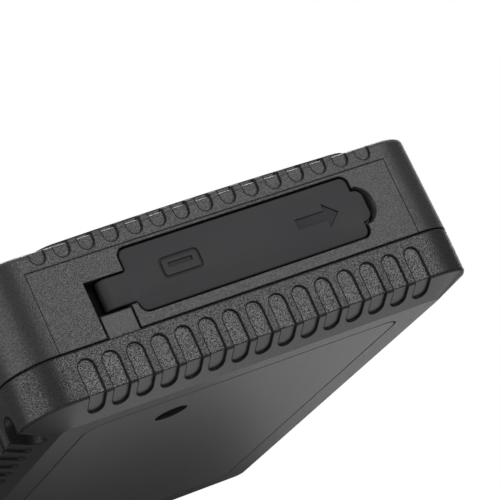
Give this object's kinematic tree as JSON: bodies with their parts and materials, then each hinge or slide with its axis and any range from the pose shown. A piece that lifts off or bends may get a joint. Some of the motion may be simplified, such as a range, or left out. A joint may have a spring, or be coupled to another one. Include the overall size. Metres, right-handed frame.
{
  "type": "usb power meter",
  "caption": "Flat hand-held electronic meter with grip grooves round its edges, a rubber flap over its USB ports, a display, push keys and a screwed rear cover.",
  "frame": {"origin": "middle of the housing's outline, on the plane of the rear face", "axes": "+X across the port wall, +Y from the port wall to the far end, +Z from the rear face to the display"},
  "size_m": [0.096, 0.133, 0.0332],
  "materials": {
    "shell": "coarse spark-erosion texture",
    "flap_rubber": "smooth matt",
    "window": "clear gloss over a black border",
    "display": "unlit panel",
    "key": "fine satin",
    "black_plastic": "moulded",
    "board": "solder mask",
    "screw_steel": "blackened",
    "frame_steel": "pressed sheet",
    "port_steel": "nickel plated",
    "spacer_brass": "turned",
    "tongue_white": "moulded",
    "shunt": "coated strip",
    "inductor": "ferrite",
    "can_aluminium": "drawn can",
    "battery_wrap": "shrink film"
  },
  "bodies": {
    "housing": {"front_shell": "shell", "rear_shell": "shell", "rear_cover": "shell", "cover_screw": "screw_steel", "case_screws": "screw_steel", "flap_anchor": "flap_rubber", "display_window": "window", "display_module": "display", "display_frame": "frame_steel", "key_switches": "black_plastic", "upper_board": "board", "main_board": "board", "board_spacers": "spacer_brass", "board_header": "black_plastic", "usb_a_shell": "port_steel", "usb_a_tongue": "tongue_white", "usb_c_shell": "port_steel", "usb_c_tongue": "black_plastic", "micro_usb_shell": "port_steel", "micro_usb_tongue": "black_plastic", "shunt_resistor": "shunt", "power_inductor": "inductor", "controller_chip": "black_plastic", "capacitors": "can_aluminium", "buzzer": "black_plastic", "battery_pack": "battery_wrap", "battery_contacts": "black_plastic"},
    "flap": {"port_flap": "flap_rubber"},
    "key_power_cap": {"key_power": "key"},
    "key_previous_cap": {"key_previous": "key"},
    "key_next_cap": {"key_next": "key"},
    "key_enter_cap": {"key_enter": "key"}
  },
  "joints": [
    {"name": "flap_hinge", "type": "hinge", "parent": "housing", "child": "flap", "pos_m": [-0.0256, -0.0653, 0.01985], "axis": [0, 0, -1], "range_deg": [0, 135]},
    {"name": "key_power_press", "type": "slide", "parent": "housing", "child": "key_power_cap", "axis": [0, 0, -1], "range_m": [0, 0.0008], "stiffness_N_per_m": 350},
    {"name": "key_previous_press", "type": "slide", "parent": "housing", "child": "key_previous_cap", "axis": [0, 0, -1], "range_m": [0, 0.0008], "stiffness_N_per_m": 350},
    {"name": "key_next_press", "type": "slide", "parent": "housing", "child": "key_next_cap", "axis": [0, 0, -1], "range_m": [0, 0.0008], "stiffness_N_per_m": 350},
    {"name": "key_enter_press", "type": "slide", "parent": "housing", "child": "key_enter_cap", "axis": [0, 0, -1], "range_m": [0, 0.0008], "stiffness_N_per_m": 350}
  ]
}
